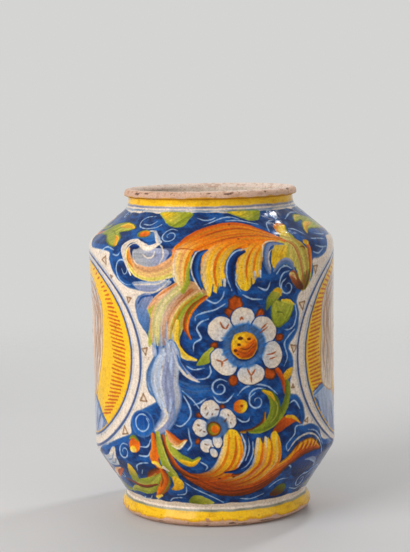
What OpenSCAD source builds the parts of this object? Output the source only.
// Albarello: a thrown and tin-glazed drug jar.
// One fired clay body carries the glaze, which lies on it in separately coloured fields.
// Millimetres, Z up, origin on the resting plane under the middle of the foot.
// The front scroll panel faces -Y, and the medallions face -X and +X.

/* [Foot] */
// Outer radius of the flat ring that the jar stands on
rest_r = 81; // [74:0.5:85]
// Width of that flat ring
rest_w = 13; // [6:0.5:24]
// Radius at the widest edge of the flared foot
foot_r = 90; // [86:0.5:98]
// Height of the widest edge above the resting plane
foot_edge_z = 5; // [4:0.25:7]
// Rounding of the widest edge
foot_round = 4.5; // [1:0.25:5]
// Radius of the waist where the foot meets the body
foot_waist_r = 83.5; // [78:0.5:85]
// Height of that waist
foot_h = 18; // [15:0.5:21]
// Depth of the hollow under the floor
recess_d = 3; // [1:0.25:5]

/* [Wall] */
// Radius at the lower corner of the wall
lower_r = 112; // [106:0.5:118]
// Height of the lower corner
lower_z = 62; // [54:0.5:70]
// Rounding of the lower corner
lower_round = 14; // [9:0.5:20]
// Radius at the shoulder corner
shoulder_r = 113.5; // [107:0.5:119]
// Depth of the shoulder corner below the top of the jar
shoulder_drop = 47; // [42:0.5:56]
// Rounding of the shoulder corner
shoulder_round = 14; // [9:0.5:18]
// How far the wall draws in at mid height
waist_in = 0.6; // [0:0.1:2]
// Thickness of the wall, glaze included
wall_t = 8; // [5:0.25:8.5]
// Thickness of the floor, lining included
floor_t = 11; // [6:0.5:14]

/* [Neck and lip] */
// Overall height of the jar
total_h = 300; // [270:1:340]
// Outer radius of the neck
neck_r = 76; // [73:0.25:78]
// Depth below the top at which the slope of the shoulder would meet the neck
neck_drop = 16; // [14:0.25:20]
// Hollow rounding between the shoulder and the neck
neck_round = 12; // [6:0.5:14]
// Outer radius of the lip
lip_r = 79.6; // [78.5:0.1:84]
// Height of the lip
lip_h = 7.5; // [6.5:0.25:9.5]
// Rise of the sloping underside of the lip
lip_under = 1.5; // [0.5:0.1:2]
// Rounding of the lip outside
lip_round_out = 4; // [1:0.25:4.5]
// Rounding of the lip towards the mouth
lip_round_in = 4.2; // [1:0.2:4.6]
// Radius of the mouth, inside the lining
mouth_r = 70; // [66:0.25:71]

/* [Glaze] */
// Thickness of the outer glaze
glaze_t = 0.8; // [0.4:0.1:1.4]
// Thickness of the lining glaze
lining_t = 0.7; // [0.4:0.1:1.4]
// Height where the foot's yellow band starts
foot_band_z = 5.5; // [4.5:0.25:7.5]
// Height where the lined band above the foot starts
foot_lines_z = 14.5; // [11:0.25:16.5]
// Height where the painted body starts
panel_low_z = 22; // [20:0.5:34]
// Depth below the top where the lined band under the neck starts
neck_lines_drop = 18.5; // [17:0.5:28]
// Depth below the top where the neck's yellow band starts
neck_band_drop = 13; // [11:0.25:16.5]

/* [Medallions] */
// How far the middle of both medallions lies above the middle of the wall
medallion_lift = -1.5; // [-6:0.5:4]
// Half width of a medallion's ground, measured along the wall
medallion_half_w = 91; // [70:0.5:96]
// Width of the outlined border round the ground
border_w = 10; // [5:0.5:14]
// Width of the white surround outside the border
surround_w = 7; // [3:0.5:12]
// How far a surround centred on the wall would reach past the wall's corners
surround_over = 3.5; // [0:0.5:8]

/* [Hidden] */
// Points along one rounded corner, points along the drawn-in wall, and sides of an oval
corner_steps = 10;
wall_steps = 12;
oval_sides = 72;
// How far cutting shapes reach past the solids that they cut
cut_over = 20;
LEFT = -1;
RIGHT = 1;
FRONT = -1;
REAR = 1;
$fn = 96;

// Colours of the fired clay and of the glazes
clay_colour = [0.78, 0.62, 0.52];
white_colour = [0.90, 0.86, 0.80];
yellow_colour = [0.93, 0.70, 0.16];
cobalt_colour = [0.10, 0.20, 0.50];
line_colour = [0.62, 0.68, 0.74];

// Path tools: a path is a list of [radius, height] points
function unit(v) = v / norm(v);
function left_of(v) = [-v.y, v.x];
function mix(a, b, t) = a + (b - a) * t;
function reversed(path) = [for (i = [len(path) - 1 : -1 : 0]) path[i]];

// The point at a height on the line through p and q, and at a radius on it
function at_height(p, q, z) = mix(p, q, (z - p.y) / (q.y - p.y));
function at_radius(p, q, r) = mix(p, q, (r - p.x) / (q.x - p.x));

// An arc of radius r that rounds the corner b of the path a, b, c
function rounded(a, b, c, r) =
    let (u = unit(a - b), v = unit(c - b), half = acos(u * v) / 2)
    let (centre = b + unit(u + v) * r / sin(half))
    let (start = b + u * r / tan(half) - centre, end = b + v * r / tan(half) - centre)
    let (turn = atan2(start.x * end.y - start.y * end.x, start * end))
    [for (i = [0 : corner_steps])
        let (a = turn * i / corner_steps)
        centre + [start.x * cos(a) - start.y * sin(a), start.x * sin(a) + start.y * cos(a)]];

// A path moved sideways by d, to the left of its direction, with mitred corners
function moved(path, d) =
    let (n = [for (i = [0 : len(path) - 2]) left_of(unit(path[i + 1] - path[i]))])
    [for (i = [0 : len(path) - 1])
        let (before = n[max(i - 1, 0)], after = n[min(i, len(n) - 1)])
        path[i] + (before + after) * d / (1 + before * after)];

// The point of a rising path at a height, and the stretch of it between two heights
function point_at(path, z) =
    let (i = max([for (k = [0 : len(path) - 2]) if (path[k].y <= z || k == 0) k]))
    at_height(path[i], path[i + 1], z);
function between(path, low, high) = concat(
    [point_at(path, low)],
    [for (p = path) if (p.y > low && p.y < high) p],
    [point_at(path, high)]);

// Heights that hang from the top of the jar
shoulder_z = total_h - shoulder_drop;
neck_z = total_h - neck_drop;
neck_lines_z = total_h - neck_lines_drop;
neck_band_z = total_h - neck_band_drop;
// The medallions stand on the wall between its two corners
medallion_z = (lower_z + shoulder_z) / 2 + medallion_lift;
medallion_half_h = (shoulder_z - lower_z) / 2 + surround_over - surround_w - border_w;

// Corners of the finished outside, from the foot to the neck
rest_corner = [rest_r, 0];
foot_corner = [foot_r, foot_edge_z];
waist_corner = [foot_waist_r, foot_h];
lower_corner = [lower_r, lower_z];
shoulder_corner = [shoulder_r, shoulder_z];
neck_corner = [neck_r, neck_z];
lip_low_z = total_h - lip_h;
lip_foot = [neck_r, lip_low_z];

// The wall between its corners, drawn in by a shallow curve
lower_arc = rounded(waist_corner, lower_corner, shoulder_corner, lower_round);
shoulder_arc = rounded(lower_corner, shoulder_corner, neck_corner, shoulder_round);
wall_start = lower_arc[corner_steps];
wall_end = shoulder_arc[0];
wall_curve = [for (i = [1 : wall_steps - 1])
    let (t = i / wall_steps)
    mix(wall_start, wall_end, t) - [waist_in * 4 * t * (1 - t), 0]];

// The finished outside, rising from the resting ring to the underside of the lip
outside = concat(
    [rest_corner],
    rounded(rest_corner, foot_corner, waist_corner, foot_round),
    [waist_corner],
    lower_arc, wall_curve, shoulder_arc,
    rounded(shoulder_corner, neck_corner, lip_foot, neck_round),
    [lip_foot]);
// The clay under the outer glaze
clay_outside = moved(outside, glaze_t);

// The finished inside: the outside's corners moved in by the wall, down to the floor
inner_corners = moved([waist_corner, lower_corner, shoulder_corner, neck_corner], wall_t);
floor_z = recess_d + floor_t;
floor_edge = at_height(inner_corners[0], inner_corners[1], floor_z);
throat = at_radius(inner_corners[2], inner_corners[3], mouth_r);
mouth_top = [mouth_r, total_h - lip_round_in];
inner_round = max(lower_round - wall_t, lining_t);
throat_round = 2;
floor_round = 10;
inside = concat(
    [[0, floor_z]],
    rounded([0, floor_z], floor_edge, inner_corners[1], floor_round),
    rounded(floor_edge, inner_corners[1], inner_corners[2], inner_round),
    rounded(inner_corners[1], inner_corners[2], throat, inner_round),
    rounded(inner_corners[2], throat, mouth_top, throat_round),
    [mouth_top]);
// The clay under the lining, which stops just below the lip's rounding
clay_inside = moved(inside, -lining_t);

// The bare lip, from its underside over the top to the mouth
lip_out = [lip_r, lip_low_z + lip_under];
lip_top_out = [lip_r, total_h];
lip_top_in = [mouth_r, total_h];
lip = concat(
    [lip_foot, lip_out],
    rounded(lip_out, lip_top_out, lip_top_in, lip_round_out),
    rounded(lip_top_out, lip_top_in, mouth_top, lip_round_in));

// A coat of outer glaze between two heights
module coat(low, high) {
    rotate_extrude()
        polygon(concat(between(outside, low, high), reversed(between(clay_outside, low, high))));
}

// A bar of oval section along X, reaching out from the axis on one side
// half_w is measured along the wall, so it is laid flat before it is cut
module oval_bar(side, half_w, half_h) {
    flat_w = lower_r * sin(half_w / lower_r * 180 / PI);
    length = max(lower_r, shoulder_r) + cut_over;
    translate([side < 0 ? -length : 0, 0, medallion_z])
        rotate([90, 0, 90])
            linear_extrude(length)
                polygon([for (i = [0 : oval_sides - 1])
                    let (a = 360 * i / oval_sides)
                    [flat_w * cos(a), half_h * sin(a)]]);
}

// The ovals that bound a medallion, its border and its white surround
module medallion_bar(side, spread = 0) {
    oval_bar(side, medallion_half_w + spread, medallion_half_h + spread);
}

// The fired clay, bare at the lip and under the foot
module clay_body() {
    color(clay_colour) rotate_extrude()
        polygon(concat(
            [[0, recess_d], [rest_r - rest_w - recess_d, recess_d], [rest_r - rest_w, 0]],
            between(outside, 0, foot_band_z),
            between(clay_outside, foot_band_z, lip_low_z),
            lip,
            reversed(clay_inside)));
}

// White glaze that lines the inside up to the lip
module lining_glaze() {
    color(white_colour) rotate_extrude()
        polygon(concat(inside, reversed(clay_inside)));
}

// Yellow glaze round the foot
module foot_band() {
    color(yellow_colour) coat(foot_band_z, foot_lines_z);
}

// White glaze with painted lines at the waist above the foot
module foot_lines() {
    color(line_colour) coat(foot_lines_z, panel_low_z);
}

// Cobalt ground of a scroll panel: one half of the body, less the two surrounds
module scroll_panel(face) {
    reach = max(lower_r, shoulder_r) + cut_over;
    color(cobalt_colour) difference() {
        intersection() {
            coat(panel_low_z, neck_lines_z);
            translate([-reach, face < 0 ? -reach : 0, 0]) cube([2 * reach, reach, total_h]);
        }
        for (side = [LEFT, RIGHT]) medallion_bar(side, border_w + surround_w);
    }
}

// Yellow ground of a medallion
module medallion(side) {
    color(yellow_colour) intersection() {
        coat(panel_low_z, neck_lines_z);
        medallion_bar(side);
    }
}

// A ring of glaze round a medallion, between two distances from its ground
module medallion_ring(side, inner, outer) {
    intersection() {
        coat(panel_low_z, neck_lines_z);
        difference() {
            medallion_bar(side, outer);
            medallion_bar(side, inner);
        }
    }
}

// Outlined border of a medallion
module medallion_border(side) {
    color(line_colour) medallion_ring(side, 0, border_w);
}

// White surround between a medallion's border and the scroll panels
module medallion_surround(side) {
    color(white_colour) medallion_ring(side, border_w, border_w + surround_w);
}

// White glaze with painted lines between the shoulder and the neck
module neck_lines() {
    color(line_colour) coat(neck_lines_z, neck_band_z);
}

// Yellow glaze round the neck, up to the lip
module neck_band() {
    color(yellow_colour) coat(neck_band_z, lip_low_z);
}

clay_body();
lining_glaze();
foot_band();
foot_lines();
scroll_panel(FRONT);  // front_panel
scroll_panel(REAR);  // rear_panel
medallion(LEFT);  // left_medallion
medallion(RIGHT);  // right_medallion
medallion_border(LEFT);  // left_border
medallion_border(RIGHT);  // right_border
medallion_surround(LEFT);  // left_surround
medallion_surround(RIGHT);  // right_surround
neck_lines();
neck_band();
